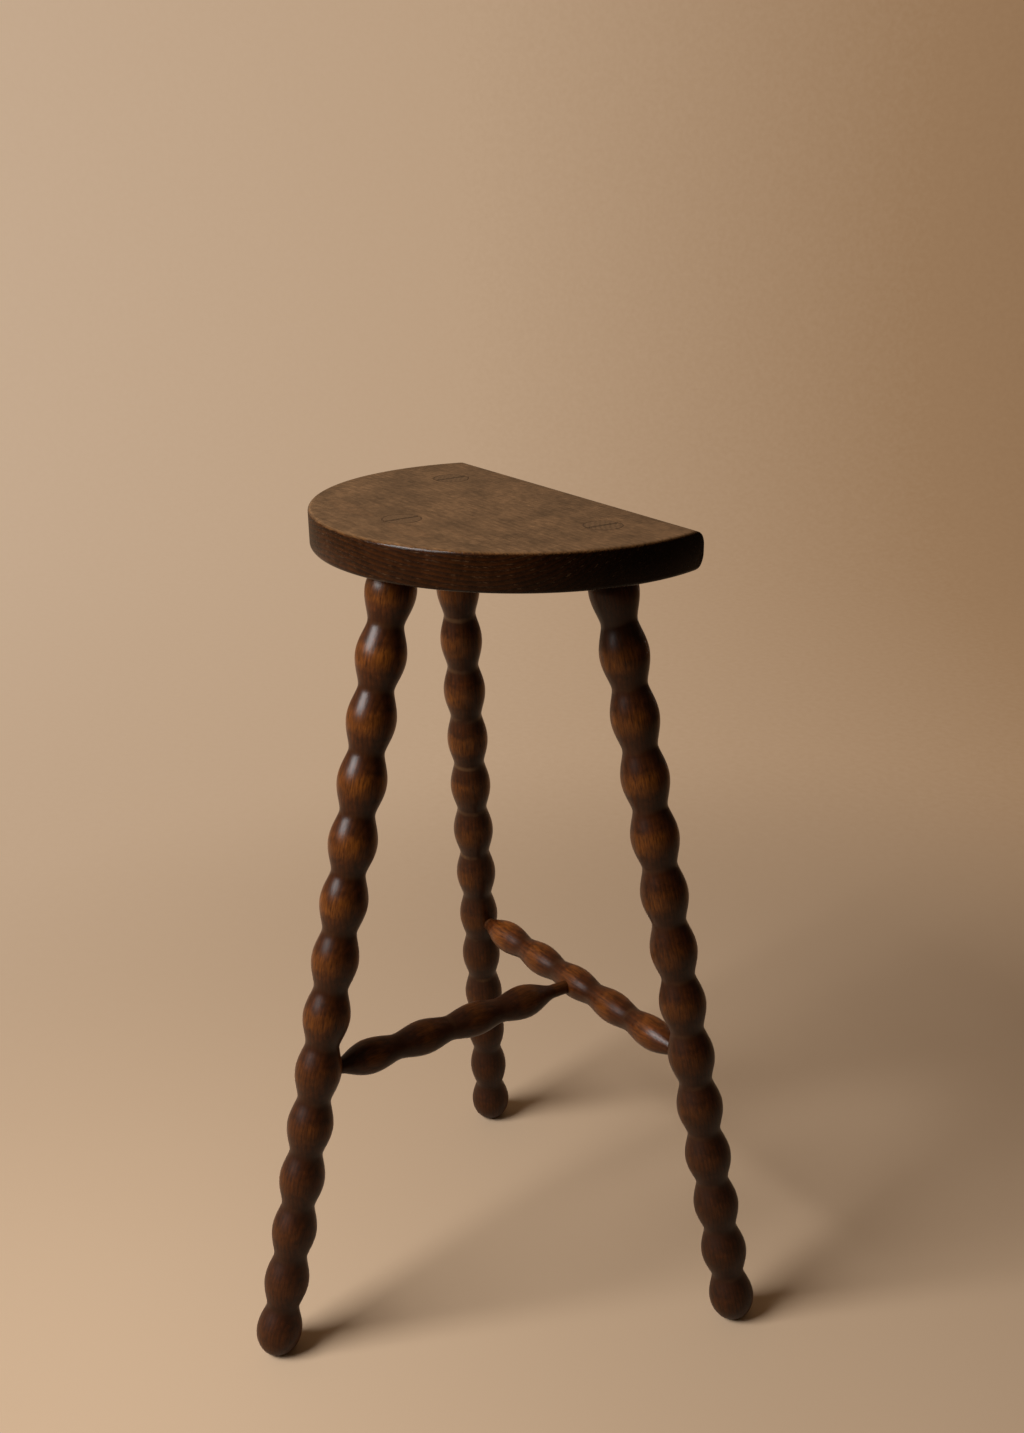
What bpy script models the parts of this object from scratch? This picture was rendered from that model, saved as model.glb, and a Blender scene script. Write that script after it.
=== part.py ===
"""Tall three-legged half-moon stool: a thick seat, three bobbin-turned legs and a T of stretchers.

Lengths are in metres, +Z is up and the floor is at Z = 0. The straight back edge of the seat runs
along X on the +Y side, and the curved front faces -Y. The origin is the middle of the footprint box.
"""

import math

import bmesh
import bpy
from mathutils import Matrix, Vector

# Seat board: a round cut off straight along its back
SEAT_HEIGHT = 0.700
SEAT_THICKNESS = 0.029
SEAT_DIAMETER = 0.322
SEAT_BACK_DEPTH = 0.055
RIM_EDGE_RADIUS = 0.002
BACK_EDGE_RADIUS = 0.012

# Leg axes, where they cross the seat top and the floor, measured from the middle of the back edge
FRONT_LEG_TOP_INSET = 0.160
FRONT_LEG_FOOT_INSET = 0.3175
REAR_LEG_TOP_INSET = 0.053
REAR_LEG_TOP_OFFSET = 0.1015
REAR_LEG_FOOT_OVERHANG = 0.037
REAR_LEG_FOOT_OFFSET = 0.195

# Turning of the legs; the shape value sharpens the necks, and the top bead is at least a share of a pitch
LEG_BEAD_DIAMETER = 0.0378
LEG_NECK_DIAMETER = 0.0275
LEG_BEAD_PITCH = 0.0494
LEG_BEAD_SHAPE = 1.25
LEG_TENON_DIAMETER = 0.029
SHORTEST_TOP_BEAD = 0.6
FOOT_NECK_HEIGHT = 0.0474
FOOT_DIAMETER = 0.0385
FOOT_WIDEST_HEIGHT = 0.023
FOOT_WEAR = 0.0015

# Stretchers, both at one height: the cross stretcher between the rear legs, and the foot rail to its middle
STRETCHER_HEIGHT = 0.260
STRETCHER_TENON_DIAMETER = 0.012
STRETCHER_BEAD_SHAPE = 1.4
STRETCHER_END_SHAPE = 1.0
SPIGOT_CLEAR_OF_LEG = 0.001
CROSS_BEAD_DIAMETER = 0.0284
CROSS_NECK_DIAMETER = 0.0215
CROSS_BEAD_COUNT = 5
CROSS_END_BEAD_FROM_LEG = 0.053
FOOT_RAIL_BEAD_DIAMETER = 0.0297
FOOT_RAIL_NECK_DIAMETER = 0.0219
FOOT_RAIL_BEAD_COUNT = 4
FOOT_RAIL_BEAD_FROM_LEG = 0.049
FOOT_RAIL_BEAD_FROM_CROSS = 0.0596
FOOT_RAIL_SPIGOT_LENGTH = 0.013

# Wedges that spread the through tenons
WEDGE_THICKNESS = 0.003
WEDGE_TIP_THICKNESS = 0.001
WEDGE_LENGTH = 0.022
WEDGE_SIDE_INSET = 0.0009

# Clearance between mating pieces, and how far a cutter runs past what it cuts
FIT_GAP = 0.0003
CUTTER_MARGIN = 0.010

# Facets of the round work
LEG_FACETS = 18
STRETCHER_FACETS = 14
RINGS_PER_BEAD = 6
SEAT_FACETS = 56
EDGE_SEGMENTS = 2
BACK_ARC_STEPS = 4
BACK_ARC_START = math.radians(80)

# Finishes: linear colour and roughness
SEAT_FINISH = ((0.150, 0.084, 0.040), 0.42)
LEG_FINISH = ((0.105, 0.042, 0.015), 0.35)
STRETCHER_FINISH = ((0.095, 0.038, 0.015), 0.33)
WEDGE_FINISH = ((0.090, 0.048, 0.022), 0.50)

SEAT_UNDERSIDE = SEAT_HEIGHT - SEAT_THICKNESS


def clear_scene():
    """Removes every object, so that the script starts from an empty scene."""
    for item in list(bpy.data.objects):
        bpy.data.objects.remove(item, do_unlink=True)


def wood(name, finish):
    """Makes a plain stained-wood material from a colour and a roughness."""
    colour, roughness = finish
    material = bpy.data.materials.new(name)
    material.use_nodes = True
    shader = material.node_tree.nodes["Principled BSDF"]
    shader.inputs["Base Color"].default_value = (*colour, 1.0)
    shader.inputs["Roughness"].default_value = roughness
    shader.inputs["Metallic"].default_value = 0.0
    return material


def add_object(name, mesh, parent, material=None):
    """Links a mesh as an object under the stool's empty; without a material it is a cutter."""
    piece = bpy.data.objects.new(name, mesh)
    bpy.context.scene.collection.objects.link(piece)
    piece.parent = parent
    if material is None:
        piece.hide_render = True
        piece.display_type = "WIRE"
    else:
        mesh.materials.append(material)
    return piece


def frame_along(start, end):
    """Gives the placing of a piece whose local Z runs from start to end, with local X near world X or Y."""
    along = (end - start).normalized()
    side = Vector((1, 0, 0)) if abs(along.x) < abs(along.z) + abs(along.y) else Vector((0, 1, 0))
    across = (side - along * side.dot(along)).normalized()
    rotation = Matrix((across, along.cross(across), along)).transposed()
    return Matrix.Translation(start) @ rotation.to_4x4()


def turned(name, outline, facets, placing, parent, material=None):
    """Turns an outline of (radius, height) points, listed from the top down, about local Z."""
    mesh = bpy.data.meshes.new(name)
    points = [(radius, 0, height) for radius, height in outline]
    mesh.from_pydata(points, [(i, i + 1) for i in range(len(points) - 1)], [])
    piece = add_object(name, mesh, parent, material)
    piece.matrix_local = placing
    screw = piece.modifiers.new("turning", "SCREW")
    screw.axis = "Z"
    screw.steps = facets
    screw.render_steps = facets
    screw.use_merge_vertices = True
    screw.merge_threshold = 0.00001
    screw.use_smooth_shade = True
    return piece


def rod(name, radius, bottom, top, facets, placing, parent):
    """Makes a plain round cutter between two heights on local Z."""
    outline = [(0, top), (radius, top), (radius, bottom), (0, bottom)]
    return turned(name, outline, facets, placing, parent)


def prism(name, outline, half_length, parent, material=None):
    """Extrudes a (y, z) outline along X to both sides of the middle."""
    mesh = bpy.data.meshes.new(name)
    shape = bmesh.new()
    near = [shape.verts.new((-half_length, y, z)) for y, z in outline]
    far = [shape.verts.new((half_length, y, z)) for y, z in outline]
    shape.faces.new(near)
    shape.faces.new(far)
    for i in range(len(outline)):
        j = (i + 1) % len(outline)
        shape.faces.new((near[i], near[j], far[j], far[i]))
    bmesh.ops.recalc_face_normals(shape, faces=shape.faces)
    shape.to_mesh(mesh)
    shape.free()
    return add_object(name, mesh, parent, material)


def cut(piece, cutter):
    """Takes a cutter's volume out of a piece."""
    boolean = piece.modifiers.new("cut_" + cutter.name, "BOOLEAN")
    boolean.operation = "DIFFERENCE"
    boolean.solver = "EXACT"
    boolean.object = cutter


def swell(share, shape):
    """Rises from 0 at a neck to 1 at the middle of a bead as share goes from 0 to 1."""
    return math.sin(math.pi / 2 * share) ** shape


def bead_half(low_radius, high_radius, low_height, high_height, shape):
    """Lists (radius, height) from a bead's widest ring down or up to its neck, without the neck."""
    steps = RINGS_PER_BEAD // 2
    rows = []
    for step in range(steps):
        share = 1 - step / steps
        radius = low_radius + (high_radius - low_radius) * swell(share, shape)
        rows.append((radius, low_height + (high_height - low_height) * share))
    return rows


def beads(neck_radius, bead_radius, first_middle, pitch, count, shape):
    """Lists a run of beads from its first widest ring to its last, upwards."""
    rows = []
    for index in range(count - 1):
        middle = first_middle + pitch * index
        neck = middle + pitch / 2
        rows += bead_half(neck_radius, bead_radius, neck, middle, shape)
        rows.append((neck_radius, neck))
        rows += reversed(bead_half(neck_radius, bead_radius, neck, middle + pitch, shape)[1:])
    rows.append((bead_radius, first_middle + pitch * (count - 1)))
    return rows


def leg_outline(splay):
    """Lists a leg's turned outline from the top of its tenon down to the foot."""
    neck = LEG_NECK_DIAMETER / 2
    bead = LEG_BEAD_DIAMETER / 2
    tenon = LEG_TENON_DIAMETER / 2
    foot = FOOT_DIAMETER / 2
    tenon_top = (SEAT_HEIGHT + CUTTER_MARGIN) / math.cos(splay)
    shoulder = SEAT_UNDERSIDE / math.cos(splay) - (tenon + FIT_GAP) * math.tan(splay) - FIT_GAP
    full_beads = int((shoulder - FOOT_NECK_HEIGHT) / LEG_BEAD_PITCH - SHORTEST_TOP_BEAD)
    first_middle = FOOT_NECK_HEIGHT + LEG_BEAD_PITCH / 2
    last_middle = first_middle + LEG_BEAD_PITCH * full_beads

    upwards = [(0, -FOOT_WEAR)]
    arc_steps = RINGS_PER_BEAD // 2
    for step in range(1, arc_steps):
        angle = math.pi / 2 * step / arc_steps
        drop = (FOOT_WIDEST_HEIGHT + FOOT_WEAR) * math.cos(angle)
        upwards.append((foot * math.sin(angle), FOOT_WIDEST_HEIGHT - drop))
    upwards += bead_half(neck, foot, FOOT_NECK_HEIGHT, FOOT_WIDEST_HEIGHT, LEG_BEAD_SHAPE)
    upwards.append((neck, FOOT_NECK_HEIGHT))
    upwards += reversed(bead_half(neck, bead, FOOT_NECK_HEIGHT, first_middle, LEG_BEAD_SHAPE)[1:])
    upwards += beads(neck, bead, first_middle, LEG_BEAD_PITCH, full_beads + 1, LEG_BEAD_SHAPE)
    upwards += bead_half(tenon, bead, shoulder, last_middle, LEG_BEAD_SHAPE)[1:]
    upwards += [(tenon, shoulder), (tenon, tenon_top), (0, tenon_top)]
    return upwards[::-1]


def rail_outline(length, bead_radius, neck_radius, count, start_bead, end_bead, start_entry, end_entry,
                 end_shape):
    """Lists a stretcher's outline, tenon to tenon, from its far end back to its start."""
    tenon = STRETCHER_TENON_DIAMETER / 2
    pitch = (length - start_bead - end_bead) / (count - 1)
    last_middle = length - end_bead
    upwards = [(0, 0), (tenon, 0), (tenon, start_entry)]
    upwards += reversed(bead_half(tenon, bead_radius, start_entry, start_bead, STRETCHER_END_SHAPE)[1:])
    upwards += beads(neck_radius, bead_radius, start_bead, pitch, count, STRETCHER_BEAD_SHAPE)
    upwards += bead_half(tenon, bead_radius, length - end_entry, last_middle, end_shape)[1:]
    upwards += [(tenon, length - end_entry), (tenon, length), (0, length)]
    return upwards[::-1]


def point_on_leg(top, foot, height):
    """Gives the point of a leg's axis at a height above the floor."""
    return foot + (top - foot) * (height / SEAT_HEIGHT)


def make_seat(parent, material):
    """Makes the seat board without its mortises: a bevelled round with a rounded straight back."""
    mesh = bpy.data.meshes.new("seat_board")
    shape = bmesh.new()
    ring = []
    for index in range(SEAT_FACETS):
        angle = 2 * math.pi * (index + 0.5) / SEAT_FACETS
        x = SEAT_DIAMETER / 2 * math.cos(angle)
        y = SEAT_DIAMETER / 2 * math.sin(angle) - SEAT_BACK_DEPTH
        ring.append(shape.verts.new((x, y, SEAT_UNDERSIDE)))
    underside = shape.faces.new(ring)
    raised = bmesh.ops.extrude_face_region(shape, geom=[underside])
    top_ring = [item for item in raised["geom"] if isinstance(item, bmesh.types.BMVert)]
    bmesh.ops.translate(shape, verts=top_ring, vec=(0, 0, SEAT_THICKNESS))
    bmesh.ops.recalc_face_normals(shape, faces=shape.faces)
    shape.to_mesh(mesh)
    shape.free()
    mesh.shade_smooth()
    mesh.set_sharp_from_angle(angle=math.radians(40))
    seat = add_object("seat_board", mesh, parent, material)
    bevel = seat.modifiers.new("worn_rim", "BEVEL")
    bevel.limit_method = "ANGLE"
    bevel.angle_limit = math.radians(60)
    bevel.width = RIM_EDGE_RADIUS
    bevel.segments = EDGE_SEGMENTS
    cut(seat, make_back_edge_cutter(parent))
    return seat


def make_back_edge_cutter(parent):
    """Makes the block that cuts the round off straight and rounds the back edge above and below."""
    slope = math.tan(math.pi / 2 - BACK_ARC_START)
    middle = SEAT_HEIGHT - SEAT_THICKNESS / 2
    radius = min(BACK_EDGE_RADIUS, SEAT_THICKNESS / 2 - FIT_GAP)
    corner = SEAT_THICKNESS / 2 - radius
    upper = []
    for step in range(BACK_ARC_STEPS + 1):
        angle = BACK_ARC_START * (1 - step / BACK_ARC_STEPS)
        upper.append((radius * (math.cos(angle) - 1), corner + radius * math.sin(angle)))
    start_y, start_z = upper[0]
    crest = SEAT_THICKNESS / 2 + CUTTER_MARGIN * slope
    upper.insert(0, (start_y - (crest - start_z) / slope, crest))
    upper.insert(0, (SEAT_DIAMETER, crest))
    lower = [(y, -z) for y, z in reversed(upper)]
    outline = [(y, middle + z) for y, z in upper + lower]
    return prism("back_edge_cutter", outline, SEAT_DIAMETER, parent)


def make_wedge_slab(name, top, placing, grow, parent, material=None):
    """Makes a wedge in a leg's own frame, grown by the fit gap when it is the cutter for the kerf."""
    tip = top - WEDGE_LENGTH - grow
    crown = top + CUTTER_MARGIN
    taper = (WEDGE_THICKNESS - WEDGE_TIP_THICKNESS) / WEDGE_LENGTH
    half_tip = (WEDGE_TIP_THICKNESS - taper * grow) / 2 + grow
    half_crown = half_tip + taper * (crown - tip) / 2
    half_width = LEG_TENON_DIAMETER / 2 - WEDGE_SIDE_INSET
    if material is None:
        half_width = LEG_TENON_DIAMETER / 2 + CUTTER_MARGIN
    outline = [(-half_tip, tip), (half_tip, tip), (half_crown, crown), (-half_crown, crown)]
    slab = prism(name, outline, half_width, parent, material)
    slab.matrix_local = placing @ Matrix.Rotation(math.pi / 2, 4, "Z")
    return slab


def make_leg(name, top, foot, seat, cutters, parent, leg_material, wedge_material):
    """Makes a leg with its through tenon, its kerf and wedge, and its mortise in the seat."""
    placing = frame_along(foot, top)
    splay = (top - foot).angle(Vector((0, 0, 1)))
    length = (top - foot).length
    leg = turned("leg_" + name, leg_outline(splay), LEG_FACETS, placing, parent, leg_material)
    kerf = make_wedge_slab("kerf_" + name, length, placing, FIT_GAP, parent)
    wedge = make_wedge_slab("wedge_" + name, length, placing, 0, parent, wedge_material)
    for cutter in cutters + [kerf]:
        cut(leg, cutter)
    cut(wedge, cutters[0])
    mortise_bottom = (SEAT_UNDERSIDE - CUTTER_MARGIN) / math.cos(splay)
    mortise_top = (SEAT_HEIGHT + CUTTER_MARGIN) / math.cos(splay)
    mortise = rod("seat_mortise_" + name, LEG_TENON_DIAMETER / 2 + FIT_GAP, mortise_bottom, mortise_top,
                  LEG_FACETS, placing, parent)
    cut(seat, mortise)
    return leg


def cut_rail_mortise(name, piece, placing, tip, outward, reach, parent):
    """Cuts a blind round mortise for a stretcher's tenon, from just past its tip outwards."""
    ends = sorted((tip - outward * FIT_GAP, tip + outward * reach))
    mortise = rod(name, STRETCHER_TENON_DIAMETER / 2 + FIT_GAP, ends[0], ends[1], STRETCHER_FACETS, placing,
                  parent)
    cut(piece, mortise)


def make_trim_cutters(parent):
    """Makes the blocks that trim the tenons flush with the seat and the feet flat on the floor."""
    reach = SEAT_DIAMETER + FRONT_LEG_FOOT_INSET
    blocks = []
    for name, low in (("seat_level_cutter", SEAT_HEIGHT), ("floor_cutter", -SEAT_THICKNESS - CUTTER_MARGIN)):
        high = low + SEAT_THICKNESS + CUTTER_MARGIN
        outline = [(-reach, low), (reach, low), (reach, high), (-reach, high)]
        blocks.append(prism(name, outline, reach, parent))
    return blocks


def footprint_middle(front, rear):
    """Gives the middle, along Y, of the box around the feet, from the widest rings of the outer feet."""
    reach = []
    for (top, foot), side in ((front, -1), (rear, 1)):
        along = (top - foot).normalized()
        middle = foot + along * FOOT_WIDEST_HEIGHT
        lower_half = FOOT_WIDEST_HEIGHT + FOOT_WEAR
        bulge = math.hypot(FOOT_DIAMETER / 2 * math.sqrt(1 - along.y ** 2), lower_half * along.y)
        reach.append(middle.y + side * bulge)
    return sum(reach) / 2


def main():
    clear_scene()
    leg_lines = {
        "front": (Vector((0, -FRONT_LEG_TOP_INSET, SEAT_HEIGHT)), Vector((0, -FRONT_LEG_FOOT_INSET, 0))),
    }
    for name, side in (("rear_left", -1), ("rear_right", 1)):
        leg_lines[name] = (
            Vector((side * REAR_LEG_TOP_OFFSET, -REAR_LEG_TOP_INSET, SEAT_HEIGHT)),
            Vector((side * REAR_LEG_FOOT_OFFSET, REAR_LEG_FOOT_OVERHANG, 0)),
        )

    stool = bpy.data.objects.new("stool", None)
    bpy.context.scene.collection.objects.link(stool)
    stool.location.y = -footprint_middle(leg_lines["front"], leg_lines["rear_right"])

    leg_wood = wood("leg_wood", LEG_FINISH)
    rail_wood = wood("stretcher_wood", STRETCHER_FINISH)
    wedge_wood = wood("wedge_wood", WEDGE_FINISH)
    seat = make_seat(stool, wood("seat_wood", SEAT_FINISH))
    trims = make_trim_cutters(stool)
    legs = {}
    for name, (top, foot) in leg_lines.items():
        legs[name] = make_leg(name, top, foot, seat, trims, stool, leg_wood, wedge_wood)

    leg_entry = LEG_BEAD_DIAMETER / 2 + SPIGOT_CLEAR_OF_LEG
    reach = LEG_BEAD_DIAMETER / 2 + CUTTER_MARGIN
    left = point_on_leg(*leg_lines["rear_left"], STRETCHER_HEIGHT)
    right = point_on_leg(*leg_lines["rear_right"], STRETCHER_HEIGHT)
    span = (right - left).length
    placing = frame_along(left, right)
    outline = rail_outline(span, CROSS_BEAD_DIAMETER / 2, CROSS_NECK_DIAMETER / 2, CROSS_BEAD_COUNT,
                           CROSS_END_BEAD_FROM_LEG, CROSS_END_BEAD_FROM_LEG, leg_entry, leg_entry,
                           STRETCHER_END_SHAPE)
    cross = turned("cross_stretcher", outline, STRETCHER_FACETS, placing, stool, rail_wood)
    cut_rail_mortise("mortise_rear_left", legs["rear_left"], placing, 0, 1, reach, stool)
    cut_rail_mortise("mortise_rear_right", legs["rear_right"], placing, span, -1, reach, stool)

    start = point_on_leg(*leg_lines["front"], STRETCHER_HEIGHT)
    middle = (left + right) / 2
    span = (middle - start).length
    placing = frame_along(start, middle)
    cross_entry = CROSS_BEAD_DIAMETER / 2 + FOOT_RAIL_SPIGOT_LENGTH
    outline = rail_outline(span, FOOT_RAIL_BEAD_DIAMETER / 2, FOOT_RAIL_NECK_DIAMETER / 2,
                           FOOT_RAIL_BEAD_COUNT, FOOT_RAIL_BEAD_FROM_LEG, FOOT_RAIL_BEAD_FROM_CROSS,
                           leg_entry, cross_entry, STRETCHER_BEAD_SHAPE)
    turned("foot_stretcher", outline, STRETCHER_FACETS, placing, stool, rail_wood)
    cut_rail_mortise("mortise_front", legs["front"], placing, 0, 1, reach, stool)
    reach = CROSS_BEAD_DIAMETER / 2 + CUTTER_MARGIN
    cut_rail_mortise("mortise_cross", cross, placing, span, -1, reach, stool)


main()
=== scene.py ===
# %% [markdown]
# # A half-moon stool with bobbin-turned legs
# This lesson dresses a small joined stool: one thick board, three legs and two rails turned into rows of
# beads, and three wedges. The construction model gives every place and size, so each new piece is built
# where its solid is and then stands in for it. The solids stay underneath for the physics.

# %% Load the construction model
import math
import random

import bmesh
import bpy
from mathutils import Matrix, Vector


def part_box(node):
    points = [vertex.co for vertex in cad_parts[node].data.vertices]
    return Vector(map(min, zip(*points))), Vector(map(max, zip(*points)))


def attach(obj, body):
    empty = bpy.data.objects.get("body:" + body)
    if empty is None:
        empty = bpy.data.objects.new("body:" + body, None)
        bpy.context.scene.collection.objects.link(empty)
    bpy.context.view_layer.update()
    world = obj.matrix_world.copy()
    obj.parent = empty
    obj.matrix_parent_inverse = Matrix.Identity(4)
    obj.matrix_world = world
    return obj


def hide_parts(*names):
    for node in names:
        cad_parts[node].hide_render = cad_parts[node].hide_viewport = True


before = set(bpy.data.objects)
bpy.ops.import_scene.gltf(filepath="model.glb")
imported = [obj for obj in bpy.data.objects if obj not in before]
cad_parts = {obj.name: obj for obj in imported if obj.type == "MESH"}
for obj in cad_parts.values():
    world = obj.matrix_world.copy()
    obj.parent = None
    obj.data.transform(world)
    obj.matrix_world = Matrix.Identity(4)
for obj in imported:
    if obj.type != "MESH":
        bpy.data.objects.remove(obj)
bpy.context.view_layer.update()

# %% [markdown]
# ## The maker's sizes
# A turner works from a few sizes: the height and thickness of the seat, where each leg axis meets the
# seat top and the floor, and the two diameters and the pitch of the beads. The seat's box gives the first
# ones. The leg axes are measured from the middle of the straight back edge, as they would be marked on
# the board.

# %% Sizes read from the model and sizes of the turning
seat_low, seat_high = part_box("seat_board")
SEAT_TOP = seat_high.z
SEAT_UNDERSIDE = seat_low.z
BACK_EDGE = seat_high.y
LEG_BEAD_RADIUS = 0.0189
LEG_NECK_RADIUS = 0.01375
LEG_TENON_RADIUS = 0.0145
LEG_BEAD_PITCH = 0.0494
FOOT_RADIUS = 0.01925
FOOT_WIDEST = 0.023
FOOT_NECK = 0.0474
FOOT_WEAR = 0.0015
RAIL_HEIGHT = 0.260
RAIL_TENON_RADIUS = 0.006
FRONT_TOP_FORWARD = 0.160
FRONT_FOOT_FORWARD = 0.3175
REAR_TOP_FORWARD = 0.053
REAR_FOOT_BEHIND = 0.037
REAR_TOP_ASIDE = 0.1015
REAR_FOOT_ASIDE = 0.195
UP = Vector((0, 0, 1))
DOWN = Vector((0, 0, -1))

leg_axes = {
    "front": (
        Vector((0, BACK_EDGE - FRONT_TOP_FORWARD, SEAT_TOP)),
        Vector((0, BACK_EDGE - FRONT_FOOT_FORWARD, 0)),
    ),
    "rear_left": (
        Vector((-REAR_TOP_ASIDE, BACK_EDGE - REAR_TOP_FORWARD, SEAT_TOP)),
        Vector((-REAR_FOOT_ASIDE, BACK_EDGE + REAR_FOOT_BEHIND, 0)),
    ),
    "rear_right": (
        Vector((REAR_TOP_ASIDE, BACK_EDGE - REAR_TOP_FORWARD, SEAT_TOP)),
        Vector((REAR_FOOT_ASIDE, BACK_EDGE + REAR_FOOT_BEHIND, 0)),
    ),
}
for name, (top, foot) in leg_axes.items():
    print(name, "leg leans", round(math.degrees((top - foot).angle(UP)), 1), "degrees")

# %% [markdown]
# ## The camera
# The photograph looks down on the stool from its right front. A camera is a place, a direction and a
# lens. Here the place comes from an angle round the stool, an angle above the floor and a distance. The
# stool stands below the middle of a tall frame, which a small lens shift gives without tilting the
# uprights.

# %% Place the camera
PHOTO_HEIGHT = 1433
FOCAL_PIXELS = 1588.4
CENTRE_RIGHT_PIXELS = 32.7
CENTRE_DOWN_PIXELS = 157.7
SENSOR = 36.0
CAMERA_AZIMUTH = 54.51
CAMERA_ELEVATION = 25.40
CAMERA_DISTANCE = 1.4063
CAMERA_TARGET = Vector((-0.0323, 0.1303, 0.3592))


def direction(azimuth, elevation):
    round_turn = math.radians(azimuth)
    rise = math.radians(elevation)
    level = math.cos(rise)
    return Vector((math.sin(round_turn) * level, -math.cos(round_turn) * level, math.sin(rise)))


def aim(item, target, towards, distance):
    item.location = target + towards * distance
    item.rotation_euler = (-towards).to_track_quat("-Z", "Y").to_euler()
    bpy.context.scene.collection.objects.link(item)


camera_data = bpy.data.cameras.new("photo_camera")
camera_data.sensor_width = SENSOR
camera_data.lens = FOCAL_PIXELS * SENSOR / PHOTO_HEIGHT
camera_data.shift_x = -CENTRE_RIGHT_PIXELS / PHOTO_HEIGHT
camera_data.shift_y = CENTRE_DOWN_PIXELS / PHOTO_HEIGHT
camera = bpy.data.objects.new("photo_camera", camera_data)
aim(camera, CAMERA_TARGET, direction(CAMERA_AZIMUTH, CAMERA_ELEVATION), CAMERA_DISTANCE)
bpy.context.scene.camera = camera
print("lens", round(camera_data.lens, 1), "mm, camera at", tuple(round(v, 3) for v in camera.location))

# %% [markdown]
# ## One node at a time
# Every material below is a small graph of nodes. One function adds a node, sets its options and fills its
# sockets, either with a plain value or with a link from another node. Colours are written as the hex
# codes that a colour picker shows, and one function turns them into the linear light that the shader
# needs.

# %% Helpers for colours and nodes
def linear(hex_code):
    channels = [int(hex_code[i:i + 2], 16) / 255 for i in (1, 3, 5)]
    light = [c / 12.92 if c <= 0.04045 else ((c + 0.055) / 1.055) ** 2.4 for c in channels]
    return (*light, 1.0)


def add(tree, kind, sockets=None, stops=None, **settings):
    node = tree.nodes.new("ShaderNode" + kind)
    for key, value in settings.items():
        setattr(node, key, value)
    for key, value in (sockets or {}).items():
        if isinstance(value, bpy.types.Node):
            value = next(socket for socket in value.outputs if socket.enabled)
        if isinstance(value, bpy.types.NodeSocket):
            tree.links.new(value, node.inputs[key])
        else:
            node.inputs[key].default_value = value
    if stops:
        elements = node.color_ramp.elements
        while len(elements) < len(stops):
            elements.new(0.5)
        for element, (place, colour) in zip(elements, stops):
            element.position = place
            element.color = colour
    return node


def new_material(name):
    material = bpy.data.materials.new(name)
    material.use_nodes = True
    material.node_tree.nodes.clear()
    return material


print("a mid brown in linear light", tuple(round(c, 3) for c in linear("#57331a")[:3]))

# %% [markdown]
# ## The grain of oak
# Oak is ring-porous: each year starts with a band of open pores and ends with dense wood. A solid texture
# follows that by itself: the distance from the tree's pith, divided by the ring width, counts the rings
# at every point of the piece. Where a turned bead bulges through the rings they show as ovals, and on its
# other sides as straight stripes, just as in real wood.
#
# Rings here are 3.5 mm wide. Real fibres and pores are 0.1 to 0.3 mm wide, too fine to show at this
# distance, so both are drawn several times as wide. The pores of one ring run together into short dashes
# along it, which needs the angle about the pith as well as the distance from it.

# %% A function that grows the grain
MILLIMETRE = 0.001
RING_WIDTH = 3.5 * MILLIMETRE
RING_SWAY = 2.4 * MILLIMETRE
WAVE_LENGTH = 90 * MILLIMETRE
FIBRE_WIDTH = 1.2 * MILLIMETRE
FIBRE_LENGTH = 11 * MILLIMETRE
PORE_WIDTH = 1.3 * MILLIMETRE
PORE_DASH = 2.6 * MILLIMETRE
PORE_LENGTH = 9 * MILLIMETRE
BLOTCH_SIZE = 26 * MILLIMETRE
MOTTLE_SIZE = 5 * MILLIMETRE
NOISE_LOW = 0.32
NOISE_HIGH = 0.68
PORE_EDGE = 0.45
PORE_CORE = 0.20
EARLY_WOOD = 0.20
LATE_WOOD = 0.50
LATE_PORES = 0.06
PORE_DEPTH = 0.35
RELIEF_DEPTH = 0.25 * MILLIMETRE
WAX_IOR = 1.45


def along_grain(axis, width, length):
    scale = [1 / width] * 3
    scale[axis] = 1 / length
    return scale


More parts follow.
